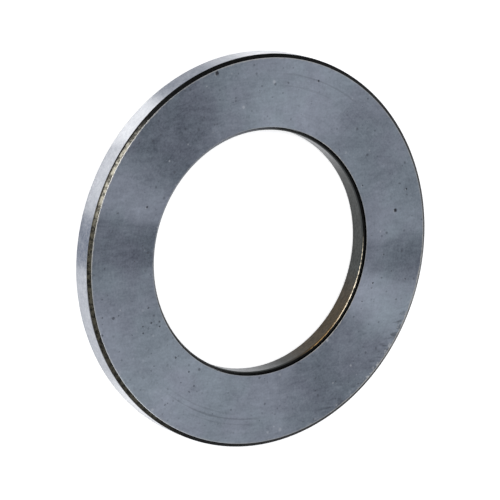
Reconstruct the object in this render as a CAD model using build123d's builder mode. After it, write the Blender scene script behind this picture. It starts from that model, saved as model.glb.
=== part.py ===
from build123d import *
import math
import os

# Enclosed single-row thrust ball bearing, lying flat: millimetres, +Z up, the bearing axis on Z and the
# shaft washer's flat face at z = 0. The housing washer is on top. Its collar reaches down around the ball
# set, and the shaft washer's lip reaches up through it, so the two washers nest and close each other.

# Boundary sizes
outer_diameter = 130.0
bore_diameter = 80.0
height = 8.0

# Ball set
ball_diameter = 4.762
ball_count = 48
cage_thickness = 2.0

# Raceways
groove_conformity = 0.54  # groove radius over ball diameter
groove_depth = 0.88  # from the shoulder to the groove's bottom

# Housing washer
rim_chamfer_width = 1.3
rim_chamfer_height = 0.9
collar_thickness = 3.0
collar_end_chamfer = 0.2
collar_edge_break = 0.3
mouth_width = 1.05  # from the bore's wall out to the face's inner edge

# Shaft washer
lip_foot_thickness = 3.0
lip_end_chamfer_height = 0.85
lip_end_width = 0.05  # flat left on the lip's end beside its chamfer
bore_entry_chamfer = 1.3  # at the flat face, clears the fillet of the shaft's shoulder
plate_edge_chamfer = 0.5

# Clearances
ball_clearance = 0.02  # ball to the bottom of each groove
pocket_clearance = 0.1  # ball to its pocket, all round
cage_guide_clearance = 0.3  # cage to the lip's foot, which guides it
cage_rim_clearance = 1.2  # cage to the collar
mouth_gap = 0.25  # lip to the edge of the housing washer's face
lip_recess = 0.5  # lip below the housing washer's face
lip_step_clearance = 0.4  # lip's foot to the web above it
collar_lift = 0.2  # collar above the plane of the shaft washer's flat face
plate_rim_clearance = 0.5  # shaft washer's plate to the collar

# Radii and levels that follow
outer_radius = outer_diameter / 2
bore_radius = bore_diameter / 2
ball_radius = ball_diameter / 2
collar_inner_radius = outer_radius - collar_thickness
lip_foot_radius = bore_radius + lip_foot_thickness
pitch_radius = (lip_foot_radius + collar_inner_radius) / 2
face_inner_radius = bore_radius + mouth_width
lip_radius = face_inner_radius - mouth_gap

mid_level = height / 2
groove_radius = groove_conformity * ball_diameter
groove_bottom = ball_radius + ball_clearance  # from mid level
shoulder = groove_bottom - groove_depth  # from mid level
lip_end = height - lip_recess

# Housing washer: an L section, web on top and collar outside
with BuildPart() as housing_washer:
    with BuildSketch(Plane.XZ):
        with BuildLine():
            Polyline(
                (face_inner_radius, height),
                (outer_radius - rim_chamfer_width, height),
                (outer_radius, height - rim_chamfer_height),
                (outer_radius, collar_lift + collar_end_chamfer),
                (outer_radius - collar_end_chamfer, collar_lift),
                (collar_inner_radius + collar_edge_break, collar_lift),
                (collar_inner_radius, collar_lift + collar_edge_break),
                (collar_inner_radius, mid_level + shoulder),
                (face_inner_radius, mid_level + shoulder),
                close=True,
            )
        make_face()
    revolve(axis=Axis.Z)
    with BuildSketch(Plane.XZ):
        with Locations((pitch_radius, mid_level + groove_bottom - groove_radius)):
            Circle(groove_radius)
    revolve(axis=Axis.Z, mode=Mode.SUBTRACT)
housing_washer.part.label = "housing_washer"

# Shaft washer: an L section, plate below and lip inside, the lip stepped where it passes the web
with BuildPart() as shaft_washer:
    with BuildSketch(Plane.XZ):
        with BuildLine():
            Polyline(
                (bore_radius + bore_entry_chamfer, 0),
                (collar_inner_radius - plate_rim_clearance - plate_edge_chamfer, 0),
                (collar_inner_radius - plate_rim_clearance, plate_edge_chamfer),
                (collar_inner_radius - plate_rim_clearance, mid_level - shoulder),
                (lip_foot_radius, mid_level - shoulder),
                (lip_foot_radius, mid_level + shoulder - lip_step_clearance),
                (lip_radius, mid_level + shoulder - lip_step_clearance),
                (lip_radius, lip_end),
                (lip_radius - lip_end_width, lip_end),
                (bore_radius, lip_end - lip_end_chamfer_height),
                (bore_radius, bore_entry_chamfer),
                close=True,
            )
        make_face()
    revolve(axis=Axis.Z)
    with BuildSketch(Plane.XZ):
        with Locations((pitch_radius, mid_level - groove_bottom + groove_radius)):
            Circle(groove_radius)
    revolve(axis=Axis.Z, mode=Mode.SUBTRACT)
shaft_washer.part.label = "shaft_washer"

# Cage: a flat ring with one pocket for each ball, open on both faces. The pocket's wall follows the ball and
# closes in a little towards both mouths, so that each ball snaps in and stays in
with BuildPart() as cage:
    with BuildSketch(Plane.XY.offset(mid_level - cage_thickness / 2)):
        Circle(collar_inner_radius - cage_rim_clearance)
        Circle(lip_foot_radius + cage_guide_clearance, mode=Mode.SUBTRACT)
    extrude(amount=cage_thickness)
    with Locations((0, 0, mid_level)):
        with PolarLocations(pitch_radius, ball_count):
            Sphere(ball_radius + pocket_clearance, mode=Mode.SUBTRACT)
cage.part.label = "cage"

os.makedirs("parts", exist_ok=True)
export_step(housing_washer.part, "parts/housing_washer.step")
export_step(shaft_washer.part, "parts/shaft_washer.step")
export_step(cage.part, "parts/cage.step")

# Balls: one piece each, the first on +X and the rest anticlockwise
for index in range(ball_count):
    turn = 2 * math.pi * index / ball_count
    with BuildPart() as ball:
        with Locations((pitch_radius * math.cos(turn), pitch_radius * math.sin(turn), mid_level)):
            Sphere(ball_radius)
    ball.part.label = f"ball_{index + 1:02d}"
    export_step(ball.part, f"parts/{ball.part.label}.step")
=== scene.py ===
import math

import bpy
from mathutils import Matrix, Vector


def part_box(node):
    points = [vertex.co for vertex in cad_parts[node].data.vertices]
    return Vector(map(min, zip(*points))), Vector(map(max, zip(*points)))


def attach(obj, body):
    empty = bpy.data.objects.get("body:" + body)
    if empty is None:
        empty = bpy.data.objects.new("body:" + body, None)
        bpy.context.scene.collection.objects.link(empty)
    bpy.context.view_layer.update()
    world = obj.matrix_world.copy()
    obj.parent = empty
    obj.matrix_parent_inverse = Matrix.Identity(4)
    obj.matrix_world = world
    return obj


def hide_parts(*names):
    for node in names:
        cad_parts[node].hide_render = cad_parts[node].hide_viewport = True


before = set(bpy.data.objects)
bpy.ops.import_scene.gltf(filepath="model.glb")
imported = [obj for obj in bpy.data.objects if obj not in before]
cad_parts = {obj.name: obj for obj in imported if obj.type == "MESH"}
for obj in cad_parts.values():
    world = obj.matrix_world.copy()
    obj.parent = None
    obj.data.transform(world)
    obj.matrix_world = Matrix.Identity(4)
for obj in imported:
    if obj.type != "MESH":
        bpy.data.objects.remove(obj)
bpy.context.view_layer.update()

bpy.ops.object.select_all(action="DESELECT")

# ---- Shaft washer ----
# The lower ring, a hardened steel L section: a plate with the lower raceway, and a lip that stands up
# through the other washer and makes the whole bore wall. Turned, hardened black, then ground on its
# working surfaces, so that only the chamfers keep the black scale.
mm = 0.001
ring_segments = 384

low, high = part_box("shaft_washer")
ball_low, ball_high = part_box("ball_01")
ball_radius = (ball_high.z - ball_low.z) / 2
pitch_radius = (ball_high.x + ball_low.x) / 2
mid_level = (ball_high.z + ball_low.z) / 2
ball_clearance = 0.02 * mm
groove_conformity = 0.54  # groove radius over ball diameter
groove_radius = groove_conformity * 2 * ball_radius
groove_depth = 0.88 * mm
groove_bottom = ball_radius + ball_clearance
shoulder = groove_bottom - groove_depth
bore_radius = 40.0 * mm
lip_radius = 40.8 * mm
lip_foot_radius = 43.0 * mm
lip_end_flat = 0.05 * mm
lip_end_chamfer_height = 0.85 * mm
lip_step_clearance = 0.4 * mm
lip_step = mid_level + shoulder - lip_step_clearance
entry_chamfer = 1.3 * mm
plate_edge_chamfer = 0.5 * mm

# How far corners are rounded: ground ones stay crisp, and turned ones are softer
crisp = 0.08 * mm
light = 0.10 * mm
soft = 0.15 * mm


def raceway(side):
    """The groove's points, from inner shoulder to outer; side is 1 above the balls and -1 below them."""
    half = math.acos(1 - groove_depth / groove_radius)
    centre = mid_level + side * (groove_bottom - groove_radius)
    steps = 6
    turns = [half * step / steps for step in range(-steps, steps + 1)]
    return [(pitch_radius + groove_radius * math.sin(turn),
             centre + side * groove_radius * math.cos(turn), 0.0) for turn in turns]


def turned_ring(name, profile):
    """A ring turned on the axis from a closed profile of (radius, height, rounding) corners."""
    first_radius, first_height, _ = profile[0]
    bpy.ops.object.select_all(action="DESELECT")
    bpy.ops.mesh.primitive_circle_add(
        vertices=ring_segments, radius=first_radius, location=(0, 0, first_height))
    ring = bpy.context.object
    ring.name = name
    bpy.ops.object.mode_set(mode="EDIT")
    bpy.ops.mesh.select_all(action="SELECT")
    for (radius, height, _), (next_radius, next_height, _) in zip(profile, profile[1:]):
        bpy.ops.mesh.extrude_edges_move(TRANSFORM_OT_translate={"value": (0, 0, next_height - height)})
        widen = next_radius / radius
        bpy.ops.transform.resize(value=(widen, widen, 1), center_override=(0, 0, 0))
    bpy.ops.mesh.select_all(action="DESELECT")
    bpy.ops.mesh.select_non_manifold()
    bpy.ops.mesh.bridge_edge_loops()
    bpy.ops.mesh.select_all(action="SELECT")
    bpy.ops.mesh.normals_make_consistent(inside=False)
    bpy.ops.object.mode_set(mode="OBJECT")
    bpy.ops.object.transform_apply(location=True, rotation=True, scale=True)
    for radius, height, rounding in profile:
        if rounding:
            round_corner(ring, radius, height, rounding)
    return ring


def round_corner(ring, radius, height, rounding):
    """Rounds the one edge loop that lies at this radius and height."""
    near = 0.002 * mm
    for polygon in ring.data.polygons:
        polygon.select = False
    on_corner = [abs(math.hypot(vertex.co.x, vertex.co.y) - radius) < near
                 and abs(vertex.co.z - height) < near for vertex in ring.data.vertices]
    for vertex, found in zip(ring.data.vertices, on_corner):
        vertex.select = found
    for edge in ring.data.edges:
        edge.select = on_corner[edge.vertices[0]] and on_corner[edge.vertices[1]]
    bpy.ops.object.mode_set(mode="EDIT")
    bpy.ops.mesh.select_mode(type="EDGE")
    bpy.ops.mesh.bevel(offset=rounding, segments=3, affect="EDGES")
    bpy.ops.object.mode_set(mode="OBJECT")


def finish_ring(ring, zones):
    """Gives each face the finish of the first zone that takes it, then shades the rounds smooth."""
    for finish, _ in zones:
        ring.data.materials.append(finish)
    for polygon in ring.data.polygons:
        radius = math.hypot(polygon.center.x, polygon.center.y)
        outward = (polygon.normal.x * polygon.center.x + polygon.normal.y * polygon.center.y) / radius
        polygon.material_index = next(
            index for index, (_, takes) in enumerate(zones)
            if takes(radius, polygon.center.z, outward, polygon.normal.z))
    bpy.ops.object.select_all(action="DESELECT")
    ring.select_set(True)
    bpy.context.view_layer.objects.active = ring
    bpy.ops.object.shade_smooth_by_angle(angle=math.radians(40))
    bpy.ops.object.modifier_add(type="WEIGHTED_NORMAL")
    flats_stay_flat = ring.modifiers[-1]
    flats_stay_flat.keep_sharp = True
    flats_stay_flat.weight = 100
    bpy.ops.object.modifier_apply(modifier=flats_stay_flat.name)


def put(tree, socket, value):
    """Links a socket, or sets a plain value."""
    if isinstance(value, bpy.types.NodeSocket):
        tree.links.new(value, socket)
    else:
        socket.default_value = value


def calc(tree, operation, *values):
    """One Math node; gives its output."""
    made = tree.nodes.new("ShaderNodeMath")
    made.operation = operation
    for socket, value in zip(made.inputs, values):
        put(tree, socket, value)
    return made.outputs[0]


def remap(tree, value, from_low, from_high, to_low, to_high):
    """A clamped, smooth Map Range."""
    made = tree.nodes.new("ShaderNodeMapRange")
    made.interpolation_type = "SMOOTHSTEP"
    for socket, number in zip(made.inputs, (value, from_low, from_high, to_low, to_high)):
        put(tree, socket, number)
    return made.outputs["Result"]


def blend_colour(tree, factor, first, second, mode="MIX"):
    """One colour Mix node; gives its colour."""
    made = tree.nodes.new("ShaderNodeMix")
    made.data_type = "RGBA"
    made.blend_type = mode
    put(tree, made.inputs[0], factor)
    put(tree, made.inputs[6], first)
    put(tree, made.inputs[7], second)
    return made.outputs[2]


def noise(tree, vector, scale, detail=2.0, roughness=0.5, distortion=0.0):
    """One Noise Texture; gives its value."""
    made = tree.nodes.new("ShaderNodeTexNoise")
    put(tree, made.inputs["Vector"], vector)
    settings = {"Scale": scale, "Detail": detail, "Roughness": roughness, "Distortion": distortion}
    for name, number in settings.items():
        put(tree, made.inputs[name], number)
    return made.outputs["Fac"]


def new_group(name, inputs, outputs):
    """An empty shader group; gives its tree, its input sockets and its output node."""
    tree = bpy.data.node_groups.new(name, "ShaderNodeTree")
    for label, kind, value in inputs:
        socket = tree.interface.new_socket(name=label, in_out="INPUT", socket_type=kind)
        if value is not None:
            socket.default_value = value
    for label, kind in outputs:
        tree.interface.new_socket(name=label, in_out="OUTPUT", socket_type=kind)
    given = tree.nodes.new("NodeGroupInput")
    return tree, given.outputs, tree.nodes.new("NodeGroupOutput").inputs


def use(tree, group, **values):
    """Places a group in a material with its own values; gives its outputs."""
    made = tree.nodes.new("ShaderNodeGroup")
    made.node_tree = group
    for name, value in values.items():
        put(tree, made.inputs[name.replace("_", " ")], value)
    return made.outputs


# Round the axis: radius and height in millimetres, and the unit vector from the axis to the surface
around, _, gives = new_group("around_the_axis", [], [
    ("Radius", "NodeSocketFloat"), ("Height", "NodeSocketFloat"),
    ("Heading", "NodeSocketVector"), ("Place", "NodeSocketVector")])
place = around.nodes.new("ShaderNodeTexCoord").outputs["Object"]
parts = around.nodes.new("ShaderNodeSeparateXYZ")
around.links.new(place, parts.inputs[0])
east, north, up = parts.outputs
radius_out = calc(around, "SQRT", calc(around, "ADD", calc(around, "MULTIPLY", east, east),
                                       calc(around, "MULTIPLY", north, north)))
put(around, gives["Radius"], calc(around, "MULTIPLY", radius_out, 1000.0))
put(around, gives["Height"], calc(around, "MULTIPLY", up, 1000.0))
heading = around.nodes.new("ShaderNodeCombineXYZ")
put(around, heading.inputs[0], calc(around, "DIVIDE", east, radius_out))
put(around, heading.inputs[1], calc(around, "DIVIDE", north, radius_out))
put(around, gives["Heading"], heading.outputs[0])
put(around, gives["Place"], place)

# One stretch of the ring: full at its middle and gone at its reach to either side, both in degrees from +X
stretch, given, gives = new_group("stretch_of_ring", [
    ("Heading", "NodeSocketVector", None), ("Middle", "NodeSocketFloat", 0.0),
    ("Reach", "NodeSocketFloat", 20.0)], [("Mask", "NodeSocketFloat")])
middle = calc(stretch, "RADIANS", given["Middle"])
towards = stretch.nodes.new("ShaderNodeCombineXYZ")
put(stretch, towards.inputs[0], calc(stretch, "COSINE", middle))
put(stretch, towards.inputs[1], calc(stretch, "SINE", middle))
facing = stretch.nodes.new("ShaderNodeVectorMath")
facing.operation = "DOT_PRODUCT"
put(stretch, facing.inputs[0], given["Heading"])
put(stretch, facing.inputs[1], towards.outputs[0])
limit = calc(stretch, "COSINE", calc(stretch, "RADIANS", given["Reach"]))
put(stretch, gives["Mask"], remap(stretch, facing.outputs["Value"], limit, 1.0, 0.0, 1.0))

# Grinding marks: fine lines that run round the ring, each some millimetres long
marks, given, gives = new_group("grinding_marks", [
    ("Heading", "NodeSocketVector", None), ("Across", "NodeSocketFloat", 0.0),
    ("Turns", "NodeSocketFloat", 6.0), ("Fineness", "NodeSocketFloat", 4.0)],
    [("Marks", "NodeSocketFloat")])
stretched = marks.nodes.new("ShaderNodeVectorMath")
stretched.operation = "SCALE"
put(marks, stretched.inputs[0], given["Heading"])
put(marks, stretched.inputs["Scale"], given["Turns"])
lifted = marks.nodes.new("ShaderNodeCombineXYZ")
put(marks, lifted.inputs[2], calc(marks, "MULTIPLY", given["Across"], given["Fineness"]))
summed = marks.nodes.new("ShaderNodeVectorMath")
put(marks, summed.inputs[0], stretched.outputs[0])
put(marks, summed.inputs[1], lifted.outputs[0])
put(marks, gives["Marks"], noise(marks, summed.outputs[0], 1.0, detail=3.0, roughness=0.6))

# Specks: pits, flecks of scale and small bright nicks, uneven in outline, size and depth
specks, given, gives = new_group("specks", [
    ("Place", "NodeSocketVector", None), ("Spacing", "NodeSocketFloat", 500.0),
    ("Share", "NodeSocketFloat", 0.2), ("Size", "NodeSocketFloat", 0.2)], [("Specks", "NodeSocketFloat")])
cells = specks.nodes.new("ShaderNodeTexVoronoi")
put(specks, cells.inputs["Vector"], given["Place"])
put(specks, cells.inputs["Scale"], given["Spacing"])
chosen = specks.nodes.new("ShaderNodeSeparateColor")
specks.links.new(cells.outputs["Color"], chosen.inputs[0])
picked = calc(specks, "LESS_THAN", chosen.outputs[0], given["Share"])
ragged = noise(specks, given["Place"], calc(specks, "MULTIPLY", given["Spacing"], 6.0), detail=2.0)
reach = calc(specks, "ADD", calc(specks, "POWER", chosen.outputs[1], 2.0), 0.4)
reach = calc(specks, "MULTIPLY", given["Size"], reach)
reach = calc(specks, "MULTIPLY", reach, calc(specks, "ADD", ragged, 0.5))
spot = remap(specks, calc(specks, "DIVIDE", cells.outputs["Distance"], reach), 0.5, 1.2, 1.0, 0.0)
depth = calc(specks, "ADD", calc(specks, "MULTIPLY", chosen.outputs[2], 0.75), 0.25)
put(specks, gives["Specks"], calc(specks, "MULTIPLY", calc(specks, "MULTIPLY", picked, spot), depth))

# Edge line: a ragged line along an edge that lies at one radius or height, for wear and for painted
# highlights
wear_and_highlight_line, given, gives = new_group("edge_wear_and_highlight", [
    ("Place", "NodeSocketVector", None), ("Across", "NodeSocketFloat", 0.0),
    ("Edge", "NodeSocketFloat", 0.0), ("Width", "NodeSocketFloat", 0.3),
    ("Grain", "NodeSocketFloat", 900.0)], [("Wear and Highlight", "NodeSocketFloat")])
off_edge = calc(wear_and_highlight_line, "ABSOLUTE", calc(wear_and_highlight_line, "SUBTRACT", given["Across"], given["Edge"]))
ragged = remap(wear_and_highlight_line, noise(wear_and_highlight_line, given["Place"], given["Grain"], detail=3.0), 0.3, 0.7, 0.25, 1.5)
off_edge = calc(wear_and_highlight_line, "DIVIDE", off_edge, calc(wear_and_highlight_line, "MULTIPLY", given["Width"], ragged))
put(wear_and_highlight_line, gives["Wear and Highlight"], remap(wear_and_highlight_line, off_edge, 0.5, 1.1, 1.0, 0.0))


def along(tree, polar, *stretches):
    """Adds up stretches of the ring, each a middle, a reach and a strength, and is 0 between them."""
    total = 0.0
    for middle, reach, strength in stretches:
        mask = use(tree, stretch, Heading=polar["Heading"], Middle=middle, Reach=reach)["Mask"]
        total = calc(tree, "MULTIPLY_ADD", mask, strength, total)
    return total


def layered(tree, level, *patterns):
    """Adds patterns to a level, each with its amount and offset."""
    for pattern, amount, offset in patterns:
        level = calc(tree, "ADD", level, calc(tree, "MULTIPLY_ADD", pattern, amount, offset))
    return level


def new_finish(name, roughness):
    """A metal's material; gives it with its tree, its Principled shader and the surface's polar values."""
    finish = bpy.data.materials.new(name)
    finish.use_nodes = True
    tree = finish.node_tree
    shader = tree.nodes["Principled BSDF"]
    shader.inputs["Metallic"].default_value = 1.0
    shader.inputs["Roughness"].default_value = roughness
    return finish, tree, shader, use(tree, around)


def relief(tree, shader, height, distance):
    """A Bump node into the shader's normal; distance is in metres."""
    bump = tree.nodes.new("ShaderNodeBump")
    bump.inputs["Strength"].default_value = 1.0
    bump.inputs["Distance"].default_value = distance
    put(tree, bump.inputs["Height"], height)
    tree.links.new(bump.outputs["Normal"], shader.inputs["Normal"])


# Ground face: both washers' flat faces. Surface ground, then wiped, handled and oiled: a cloudy blue grey
# with pits, flecks, nicks and rubbed arcs. Part of its rim is scuffed, and its edges have a painted
# highlight.
# Radii and heights in the finishes are in millimetres.
face_outer_edge = 63.7
face_inner_edge = 41.05
scuffs_start = 58.0
bruises_start = 61.9
dark_steel = (0.092, 0.106, 0.136, 1)
pale_steel = (0.478, 0.530, 0.604, 1)
edge_highlight_colour = (0.66, 0.64, 0.60, 1)
ground_face, tree, shader, polar = new_finish("ground_face", 0.36)
clouds = noise(tree, polar["Place"], 34.0, detail=9.0, roughness=0.68, distortion=0.2)
haze = noise(tree, polar["Place"], 330.0, detail=3.0, roughness=0.65)
grit = noise(tree, polar["Place"], 1350.0, detail=2.0, roughness=0.7)
drawn_out = tree.nodes.new("ShaderNodeVectorMath")
drawn_out.operation = "MULTIPLY"
put(tree, drawn_out.inputs[0], polar["Place"])
put(tree, drawn_out.inputs[1], (0.30, 1.0, 1.0))
wiped = noise(tree, drawn_out.outputs[0], 620.0, detail=3.0, roughness=0.6, distortion=0.6)
lines = use(tree, marks, Heading=polar["Heading"], Across=polar["Radius"], Turns=5.0, Fineness=2.2)["Marks"]
level = along(tree, polar, (75, 28, 0.24), (128, 25, -0.28), (171, 13, -0.30), (232, 44, 0.24),
              (305, 30, -0.20), (333, 12, 0.24), (352, 10, -0.25))
level = layered(tree, level, (clouds, 0.92, 0.06), (haze, 0.26, -0.11), (wiped, 0.34, -0.16),
                (grit, 0.44, -0.21), (lines, 0.16, -0.08))
tone = blend_colour(tree, level, dark_steel, pale_steel)
hue = remap(tree, noise(tree, polar["Place"], 75.0, detail=3.0), 0.35, 0.65, 0.0, 1.0)
hue = blend_colour(tree, hue, (0.985, 1.01, 1.0, 1), (1.015, 0.99, 1.01, 1))
tone = blend_colour(tree, 1.0, tone, hue, "MULTIPLY")

rubbed_arcs = (  # radius, width, middle, reach, strength
    (55.6, 0.35, 250, 26, 0.30), (53.9, 0.30, 243, 20, 0.16), (57.4, 0.30, 255, 22, 0.14),
    (58.6, 0.35, 66, 22, 0.20), (54.8, 0.30, 72, 16, 0.14))
for radius, width, middle, reach, strength in rubbed_arcs:
    rubbed = use(tree, wear_and_highlight_line, Place=polar["Place"], Across=polar["Radius"], Edge=radius, Width=width,
                 Grain=120.0)["Wear and Highlight"]
    rubbed = calc(tree, "MULTIPLY", rubbed, along(tree, polar, (middle, reach, strength)))
    tone = blend_colour(tree, rubbed, tone, (0.10, 0.105, 0.12, 1))

gritty = along(tree, polar, (216, 30, 0.34))
flecks = use(tree, specks, Place=polar["Place"], Spacing=1000.0, Share=0.13, Size=0.45)["Specks"]
flecks = calc(tree, "MULTIPLY", flecks, calc(tree, "ADD", gritty, 0.50))
tone = blend_colour(tree, flecks, tone, (0.08, 0.085, 0.10, 1))
pale_flecks = use(tree, specks, Place=polar["Place"], Spacing=800.0, Share=0.12, Size=0.36)["Specks"]
pale_flecks = calc(tree, "MULTIPLY", pale_flecks, calc(tree, "ADD", gritty, 0.12))
tone = blend_colour(tree, pale_flecks, tone, (0.62, 0.65, 0.70, 1))

# Pits, each with its raised lip beside it, and bright nicks
pit_spacing = 230.0
pit_share = 0.085
beside = tree.nodes.new("ShaderNodeVectorMath")
put(tree, beside.inputs[0], polar["Place"])
put(tree, beside.inputs[1], (0.35 * mm, 0.25 * mm, 0.0))
pit_lips = use(tree, specks, Place=beside.outputs[0], Spacing=pit_spacing, Share=pit_share,
               Size=0.13)["Specks"]
tone = blend_colour(tree, calc(tree, "MULTIPLY", pit_lips, 0.6), tone, (0.66, 0.68, 0.72, 1))
pits = use(tree, specks, Place=polar["Place"], Spacing=pit_spacing, Share=pit_share, Size=0.16)["Specks"]
tone = blend_colour(tree, pits, tone, (0.025, 0.026, 0.032, 1))
nicks = use(tree, specks, Place=polar["Place"], Spacing=430.0, Share=0.06, Size=0.24)["Specks"]
tone = blend_colour(tree, calc(tree, "MULTIPLY", nicks, 0.7), tone, (0.72, 0.74, 0.78, 1))

# The scuffed stretch of the rim: dark scuffs, and pale bruises right at the edge
scuffs = calc(tree, "MULTIPLY", remap(tree, wiped, 0.38, 0.50, 1.0, 0.0),
              remap(tree, polar["Radius"], scuffs_start, scuffs_start + 4.0, 0.0, 1.0))
scuffs = calc(tree, "MULTIPLY", scuffs, along(tree, polar, (325, 13, 0.55), (300, 12, 0.30)))
tone = blend_colour(tree, scuffs, tone, (0.075, 0.080, 0.095, 1))
bruises = remap(tree, noise(tree, polar["Place"], 620.0, detail=3.0, roughness=0.65), 0.52, 0.62, 0.0, 0.9)
bruises = calc(tree, "MULTIPLY", bruises,
               remap(tree, polar["Radius"], bruises_start, bruises_start + 1.3, 0.0, 1.0))
bruises = calc(tree, "MULTIPLY", bruises, along(tree, polar, (314, 34, 1.0)))
tone = blend_colour(tree, bruises, tone, (0.60, 0.62, 0.64, 1))

# Painted highlight: a pale ragged line along the face's outer and inner edges
outer_edge_highlight = use(tree, wear_and_highlight_line, Place=polar["Place"], Across=polar["Radius"], Edge=face_outer_edge,
                 Width=0.26)["Wear and Highlight"]
outer_edge_highlight = calc(tree, "MULTIPLY", outer_edge_highlight, calc(tree, "ADD", 0.30, along(
    tree, polar, (92, 30, 0.25), (152, 40, 0.45), (330, 40, 0.45))))
inner_edge_highlight = use(tree, wear_and_highlight_line, Place=polar["Place"], Across=polar["Radius"], Edge=face_inner_edge + 0.1,
                 Width=0.24)["Wear and Highlight"]
inner_edge_highlight = calc(tree, "MULTIPLY", inner_edge_highlight, calc(tree, "ADD", 0.30, along(
    tree, polar, (316, 30, 0.6), (45, 20, 0.3))))
tone = blend_colour(tree, calc(tree, "MAXIMUM", outer_edge_highlight, inner_edge_highlight), tone, edge_highlight_colour)
put(tree, shader.inputs["Base Color"], tone)
put(tree, shader.inputs["Roughness"], calc(tree, "MULTIPLY_ADD", grit, 0.16, 0.30))
relief(tree, shader, calc(tree, "MULTIPLY_ADD", lines, 0.3, calc(tree, "MULTIPLY", pits, -1.0)), 0.02 * mm)


def brown_stretch_colour(tree, polar, clear, brown):
    """A colour that is clear all round and turns brown on one stretch."""
    return blend_colour(tree, along(tree, polar, (314, 32, 1.0)), clear, brown)


# Black chamfer: the scale left by hardening. On the rim one stretch has a painted warm reflection, olive
# and straw, and another is rubbed to bare, ragged steel. Round the bore's mouth it has worn off on one
# side, and where the shaft goes in, the lip's chamfer takes the bore wall's brown and a thin painted
# highlight.
rim_chamfer_middle = 64.40
mid_face = 50.0
lip_brown_edge = 40.24
lip_highlight_radius = 40.31
olive_reflection_colour = (0.095, 0.088, 0.066, 1)
straw_highlight_colour = (0.46, 0.43, 0.355, 1)
bare_steel = (0.25, 0.255, 0.26, 1)
worn_grey = (0.20, 0.215, 0.25, 1)
black_chamfer, tree, shader, polar = new_finish("black_chamfer", 0.42)
grain = noise(tree, polar["Place"], 700.0, detail=3.0, roughness=0.7)
tone = blend_colour(tree, grain, (0.001, 0.001, 0.0015, 1), (0.018, 0.0185, 0.018, 1))
on_rim = remap(tree, polar["Radius"], face_outer_edge - 0.1, face_outer_edge, 0.0, 1.0)
inner_half = calc(tree, "MULTIPLY", on_rim, remap(
    tree, polar["Radius"], rim_chamfer_middle, rim_chamfer_middle + 0.35, 1.0, 0.0))
# Painted warm reflection on the rim chamfer: olive on two stretches and pale straw on one
olive_reflection = calc(tree, "MULTIPLY", along(tree, polar, (174, 30, 0.75), (213, 34, 0.45)),
             remap(tree, grain, 0.40, 0.62, 0.15, 1.0))
tone = blend_colour(tree, calc(tree, "MULTIPLY", olive_reflection, on_rim), tone, olive_reflection_colour)
straw_highlight = calc(tree, "MULTIPLY", along(tree, polar, (149, 19, 0.60)),
             remap(tree, grain, 0.40, 0.62, 0.15, 1.0))
tone = blend_colour(tree, calc(tree, "MULTIPLY", straw_highlight, inner_half), tone, straw_highlight_colour)
bared = calc(tree, "MULTIPLY", along(tree, polar, (338, 24, 0.75), (6, 26, 0.25)),
             remap(tree, grain, 0.38, 0.62, 0.25, 1.0))
tone = blend_colour(tree, calc(tree, "MULTIPLY", bared, on_rim), tone, bare_steel)

in_mouth = remap(tree, polar["Radius"], mid_face, mid_face + 0.1, 1.0, 0.0)
worn_off = calc(tree, "MULTIPLY", along(tree, polar, (140, 62, 1.4)), in_mouth)
tone = blend_colour(tree, calc(tree, "MINIMUM", worn_off, 1.0), tone, worn_grey)
brown_tone = brown_stretch_colour(tree, polar, (0.070, 0.075, 0.074, 1), (0.090, 0.064, 0.038, 1))
brown_stretch = remap(tree, polar["Radius"], lip_brown_edge, lip_brown_edge + 0.10, 1.0, 0.0)
tone = blend_colour(tree, brown_stretch, tone, brown_tone)
# Painted highlight: a thin warm line on the lip's chamfer
lip_highlight = use(tree, wear_and_highlight_line, Place=polar["Place"], Across=polar["Radius"], Edge=lip_highlight_radius,
                Width=0.09)["Wear and Highlight"]
lip_highlight = calc(tree, "MULTIPLY", lip_highlight, calc(
    tree, "MINIMUM", along(tree, polar, (328, 36, 1.7)), 0.85))
lip_highlight_tone = blend_colour(tree, along(tree, polar, (344, 36, 1.0)), (0.46, 0.29, 0.13, 1), (0.90, 0.80, 0.62, 1))
tone = blend_colour(tree, lip_highlight, tone, lip_highlight_tone)
put(tree, shader.inputs["Base Color"], tone)
put(tree, shader.inputs["Roughness"], calc(tree, "MULTIPLY_ADD", grain, 0.3, 0.30))
relief(tree, shader, grain, 0.02 * mm)

# Bore wall: ground to the shaft's size, grey all round, and darker and browner on one long stretch
bore_wall_finish, tree, shader, polar = new_finish("bore_wall_finish", 0.34)
lines = use(tree, marks, Heading=polar["Heading"], Across=polar["Height"], Turns=9.0, Fineness=7.0)["Marks"]
grain = noise(tree, polar["Place"], 1100.0, detail=3.0, roughness=0.7)
brown_tone = brown_stretch_colour(tree, polar, (0.080, 0.086, 0.085, 1), (0.102, 0.076, 0.047, 1))
patches = remap(tree, noise(tree, polar["Place"], 40.0, detail=3.0), 0.3, 0.7, 0.0, 1.0)
tone = blend_colour(tree, patches, (0.36, 0.37, 0.39, 1), (0.46, 0.47, 0.49, 1))
brown_stretch = calc(tree, "MINIMUM", along(tree, polar, (339, 86, 1.7)), 1.0)
tone = blend_colour(tree, brown_stretch, tone, brown_tone)
specked = calc(tree, "MULTIPLY", remap(tree, grain, 0.33, 0.68, 0.0, 0.60),
               calc(tree, "MULTIPLY_ADD", brown_stretch, 0.65, 0.35))
tone = blend_colour(tree, specked, tone, (0.024, 0.024, 0.022, 1))
tone = blend_colour(tree, remap(tree, lines, 0.45, 0.75, 0.0, 0.12), tone, (0.60, 0.58, 0.54, 1))
put(tree, shader.inputs["Base Color"], tone)
relief(tree, shader, lines, 0.006 * mm)

# Raceways and inner surfaces: ground fine and left bright
fine_ground, tree, shader, polar = new_finish("fine_ground", 0.2)
lines = use(tree, marks, Heading=polar["Heading"], Across=polar["Radius"], Turns=4.0, Fineness=9.0)["Marks"]
tone = blend_colour(tree, lines, (0.50, 0.51, 0.53, 1), (0.70, 0.71, 0.73, 1))
put(tree, shader.inputs["Base Color"], tone)
relief(tree, shader, lines, 0.004 * mm)

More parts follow.
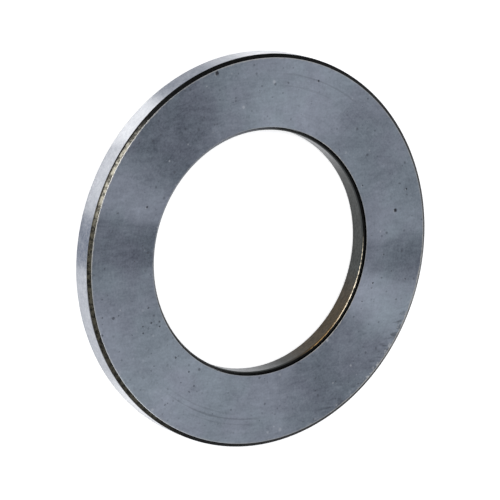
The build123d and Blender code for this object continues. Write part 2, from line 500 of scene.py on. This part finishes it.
plate_radius = high.x
shaft_washer = turned_ring("turned_shaft_washer", [
    (bore_radius, entry_chamfer, soft),
    (bore_radius, high.z - lip_end_chamfer_height, light),
    (lip_radius - lip_end_flat, high.z, 0.0),
    (lip_radius, high.z, 0.0),
    (lip_radius, lip_step, crisp),
    (lip_foot_radius, lip_step, soft),
    (lip_foot_radius, mid_level - shoulder, 0.0),
    *raceway(-1),
    (plate_radius, mid_level - shoulder, soft),
    (plate_radius, plate_edge_chamfer, crisp),
    (plate_radius - plate_edge_chamfer, low.z, crisp),
    (bore_radius + entry_chamfer, low.z, crisp)])
finish_ring(shaft_washer, [
    (ground_face, lambda radius, height, outward, upward: upward < -0.9 and height < 0.1 * mm),
    (bore_wall_finish, lambda radius, height, outward, upward:
        radius < bore_radius + 0.01 * mm and abs(upward) < 0.1),
    (black_chamfer, lambda radius, height, outward, upward:
        radius < lip_radius and outward < 0.5 or height < plate_edge_chamfer),
    (fine_ground, lambda radius, height, outward, upward: True)])
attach(shaft_washer, "shaft_washer")
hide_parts("shaft_washer")

# ---- Housing washer ----
# The upper ring, also an L section in hardened steel: a flat web with the upper raceway under it, and a
# collar down the outside that closes the ball row in. Its face and outside wall are ground bright.
low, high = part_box("housing_washer")
outer_radius = high.x
rim_chamfer_width = 1.3 * mm
rim_chamfer_height = 0.9 * mm
rim_rounding = 0.12 * mm
collar_thickness = 3.0 * mm
collar_radius = outer_radius - collar_thickness
collar_end_chamfer = 0.2 * mm
collar_end_rounding = 0.06 * mm
collar_edge_break = 0.3 * mm
collar_edge_rounding = 0.05 * mm
mouth_radius = face_inner_edge * mm

# Outside wall: ground all round, with mottle and grinding lines. Its bright and grey stretches round the
# wall are painted reflection, and the chamfer's black scale runs over its top on one side
scale_start = 6.45
grey_reflection_colour = (0.105, 0.128, 0.185, 1)
bright_reflection_colour = (0.94, 0.95, 0.97, 1)
rim_with_painted_reflection, tree, shader, polar = new_finish("rim_with_painted_reflection", 0.3)
lines = use(tree, marks, Heading=polar["Heading"], Across=polar["Height"], Turns=14.0,
            Fineness=6.0)["Marks"]
mottle = noise(tree, polar["Place"], 480.0, detail=5.0, roughness=0.75)
grit = noise(tree, polar["Place"], 1500.0, detail=2.0, roughness=0.7)
# Painted reflection: these stretches make the wall brighter or greyer by heading round it
level = along(tree, polar, (84, 16, 0.42), (114, 13, -0.24), (133, 11, 0.36), (148, 14, 0.12),
              (171, 10, -0.30), (230, 20, 0.36), (275, 18, -0.15), (318, 24, 0.25), (5, 20, -0.18),
              (42, 16, 0.20))
level = layered(tree, level, (mottle, 0.50, 0.21), (grit, 0.36, -0.18), (lines, 0.12, -0.06))
tone = blend_colour(tree, level, grey_reflection_colour, bright_reflection_colour)
scale_run = remap(tree, polar["Height"], scale_start, scale_start + 0.30, 0.0, 0.95)
scale_run = calc(tree, "MULTIPLY", scale_run, calc(
    tree, "MINIMUM", along(tree, polar, (246, 70, 2.2)), 1.0))
tone = blend_colour(tree, scale_run, tone, (0.006, 0.006, 0.007, 1))
put(tree, shader.inputs["Base Color"], tone)
put(tree, shader.inputs["Roughness"], calc(tree, "MULTIPLY_ADD", mottle, 0.2, 0.24))
relief(tree, shader, lines, 0.006 * mm)

housing_washer = turned_ring("turned_housing_washer", [
    (mouth_radius, high.z, crisp),
    (outer_radius - rim_chamfer_width, high.z, rim_rounding),
    (outer_radius, high.z - rim_chamfer_height, light),
    (outer_radius, low.z + collar_end_chamfer, collar_end_rounding),
    (outer_radius - collar_end_chamfer, low.z, collar_end_rounding),
    (collar_radius + collar_edge_break, low.z, collar_edge_rounding),
    (collar_radius, low.z + collar_edge_break, collar_edge_rounding),
    (collar_radius, mid_level + shoulder, 0.0),
    *reversed(raceway(1)),
    (mouth_radius, mid_level + shoulder, light)])
finish_ring(housing_washer, [
    (ground_face, lambda radius, height, outward, upward: upward > 0.85 and height > high.z - 0.1 * mm),
    (rim_with_painted_reflection, lambda radius, height, outward, upward: radius > collar_radius and outward > 0.9),
    (black_chamfer, lambda radius, height, outward, upward:
        radius > outer_radius - rim_chamfer_width - 0.1 * mm and outward > 0.1
        or radius < mouth_radius + 0.1 * mm or upward < -0.5 and height < low.z + mm),
    (fine_ground, lambda radius, height, outward, upward: True)])
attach(housing_washer, "housing_washer")
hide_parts("housing_washer")

# ---- Cage ----
# A flat brass ring between the washers, turned, with one pocket for each ball that is open on both faces.
# The pocket's wall follows the ball and closes in a little at both mouths, so that the ball stays in.
low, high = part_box("cage")
cage_guide_clearance = 0.3 * mm
cage_inner_radius = lip_foot_radius + cage_guide_clearance
pocket_clearance = 0.1 * mm
ball_names = sorted(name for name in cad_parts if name.startswith("ball_"))

turned_brass, tree, shader, polar = new_finish("turned_brass", 0.28)
lines = use(tree, marks, Heading=polar["Heading"], Across=polar["Radius"], Turns=3.0, Fineness=5.0)["Marks"]
tarnish = noise(tree, polar["Place"], 60.0, detail=4.0, roughness=0.6)
tarnished = remap(tree, tarnish, 0.35, 0.7, 0.0, 1.0)
tone = blend_colour(tree, tarnished, (0.62, 0.42, 0.16, 1), (0.40, 0.25, 0.09, 1))
tone = blend_colour(tree, remap(tree, lines, 0.4, 0.7, 0.0, 0.4), tone, (0.74, 0.54, 0.25, 1))
put(tree, shader.inputs["Base Color"], tone)
put(tree, shader.inputs["Roughness"], calc(tree, "ADD", 0.20, calc(tree, "MULTIPLY", tarnish, 0.2)))
relief(tree, shader, lines, 0.01 * mm)

cage = turned_ring("drilled_cage", [
    (cage_inner_radius, low.z, soft),
    (cage_inner_radius, high.z, soft),
    (high.x, high.z, soft),
    (high.x, low.z, soft)])
bpy.ops.object.select_all(action="DESELECT")
bpy.ops.mesh.primitive_uv_sphere_add(
    segments=32, ring_count=20, radius=ball_radius + pocket_clearance,
    location=(pitch_radius, 0, mid_level))
cutter = bpy.context.object
bpy.ops.object.mode_set(mode="EDIT")
for index in range(1, len(ball_names)):
    turn = 2 * math.pi * index / len(ball_names)
    last_turn = 2 * math.pi * (index - 1) / len(ball_names)
    bpy.ops.mesh.duplicate_move(TRANSFORM_OT_translate={"value": (
        pitch_radius * (math.cos(turn) - math.cos(last_turn)),
        pitch_radius * (math.sin(turn) - math.sin(last_turn)), 0)})
bpy.ops.object.mode_set(mode="OBJECT")
bpy.ops.object.select_all(action="DESELECT")
cage.select_set(True)
bpy.context.view_layer.objects.active = cage
pockets = cage.modifiers.new("pockets", "BOOLEAN")
pockets.object = cutter
pockets.solver = "EXACT"
bpy.ops.object.modifier_apply(modifier=pockets.name)
bpy.data.objects.remove(cutter)
finish_ring(cage, [(turned_brass, lambda radius, height, outward, upward: True)])
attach(cage, "cage")
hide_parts("cage")

# ---- Balls ----
# Chrome steel balls, lapped to a mirror, evenly spaced round the pitch circle. One is modelled from a
# cube rounded into a ball, so that it has no poles, and the rest are copies.
mirror_lapped, tree, shader, polar = new_finish("mirror_lapped", 0.06)
haze = noise(tree, polar["Place"], 900.0, detail=4.0, roughness=0.7)
tone = blend_colour(tree, haze, (0.70, 0.71, 0.73, 1), (0.82, 0.83, 0.84, 1))
put(tree, shader.inputs["Base Color"], tone)
put(tree, shader.inputs["Roughness"], remap(tree, haze, 0.3, 0.8, 0.03, 0.12))

bpy.ops.object.select_all(action="DESELECT")
bpy.ops.mesh.primitive_cube_add(size=2 * ball_radius / math.sqrt(3), location=(pitch_radius, 0, mid_level))
bpy.ops.object.mode_set(mode="EDIT")
bpy.ops.mesh.select_all(action="SELECT")
bpy.ops.mesh.subdivide(number_cuts=15)
bpy.ops.transform.tosphere(value=1)
bpy.ops.object.mode_set(mode="OBJECT")
first_ball = bpy.context.object
radius_now = first_ball.data.vertices[0].co.length
bpy.ops.transform.resize(value=[ball_radius / radius_now] * 3)
bpy.ops.object.transform_apply(location=True, rotation=True, scale=True)
bpy.ops.object.shade_smooth()
first_ball.data.materials.append(mirror_lapped)
for index, name in enumerate(ball_names):
    ball = first_ball
    if index:
        bpy.ops.object.select_all(action="DESELECT")
        first_ball.select_set(True)
        bpy.context.view_layer.objects.active = first_ball
        turn = 2 * math.pi * index / len(ball_names)
        bpy.ops.object.duplicate_move(TRANSFORM_OT_translate={"value": (
            pitch_radius * (math.cos(turn) - 1), pitch_radius * math.sin(turn), 0)})
        ball = bpy.context.object
        bpy.ops.object.transform_apply(location=True, rotation=True, scale=True)
    ball.name = "lapped_" + name
    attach(ball, name)
    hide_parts(name)

# ---- Studio ----
# A plain white light table under the bearing, soft light from all round, and a long lens that looks at
# the housing washer's face from the side and a little above.
low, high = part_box("shaft_washer")
bpy.ops.object.select_all(action="DESELECT")
table_gap = 0.05 * mm
table_size = 6
bpy.ops.mesh.primitive_plane_add(size=table_size, location=(0, 0, low.z - table_gap))
floor = bpy.context.object
floor.name = "light_table"
table_top = bpy.data.materials.new("white_table")
table_top.use_nodes = True
tree = table_top.node_tree
shader = tree.nodes["Principled BSDF"]
shader.inputs["Base Color"].default_value = (0.88, 0.88, 0.88, 1)
shader.inputs["Roughness"].default_value = 0.9
shader.inputs["Specular IOR Level"].default_value = 0.0
shader.inputs["Emission Color"].default_value = (1, 1, 1, 1)
seen = tree.nodes.new("ShaderNodeLightPath").outputs["Is Camera Ray"]
put(tree, shader.inputs["Emission Strength"], calc(tree, "MULTIPLY_ADD", seen, 0.38, 0.10))
floor.data.materials.append(table_top)

studio = bpy.data.worlds.new("studio")
bpy.context.scene.world = studio
studio.use_nodes = True
tree = studio.node_tree
sky = tree.nodes["Background"]
direction = tree.nodes.new("ShaderNodeSeparateXYZ")
tree.links.new(tree.nodes.new("ShaderNodeTexCoord").outputs["Generated"], direction.inputs[0])
overhead = remap(tree, direction.outputs[2], 0.0, 0.9, 0.0, 1.0)
dome = blend_colour(tree, overhead, (0.66, 0.67, 0.69, 1), (0.50, 0.51, 0.53, 1))
seen = tree.nodes.new("ShaderNodeLightPath").outputs["Is Camera Ray"]
put(tree, sky.inputs["Color"], blend_colour(tree, seen, dome, (1.2, 1.2, 1.2, 1)))


def softbox(name, place, size, power):
    """A square area light at a place, facing the bearing."""
    data = bpy.data.lights.new(name, "AREA")
    data.size = size
    data.energy = power
    box = bpy.data.objects.new(name, data)
    box.location = place
    box.rotation_euler = (-Vector(place)).to_track_quat("-Z", "Y").to_euler()
    bpy.context.scene.collection.objects.link(box)


softbox("key", (-0.9, 0.7, 1.3), 0.9, 16)
softbox("fill", (-0.3, -1.3, 1.1), 1.0, 6)

view_turn = math.radians(32.2)
view_tilt = math.radians(12.4)
view_distance = 1.2004
view_shift = (-0.00386, 0.0007)  # sideways and up
face_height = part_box("housing_washer")[1].z
lens = bpy.data.cameras.new("long_lens")
lens.lens = 266
lens.sensor_width = 36
camera = bpy.data.objects.new("camera", lens)
facing = Matrix.Rotation(-view_turn, 3, "Y") @ Matrix.Rotation(-view_tilt, 3, "X")
stand = facing @ Vector((*view_shift, view_distance)) + Vector((0, 0, face_height))
camera.matrix_world = Matrix.Translation(stand) @ facing.to_4x4()
bpy.context.scene.collection.objects.link(camera)
bpy.context.scene.camera = camera
bpy.context.scene.view_settings.view_transform = "Standard"
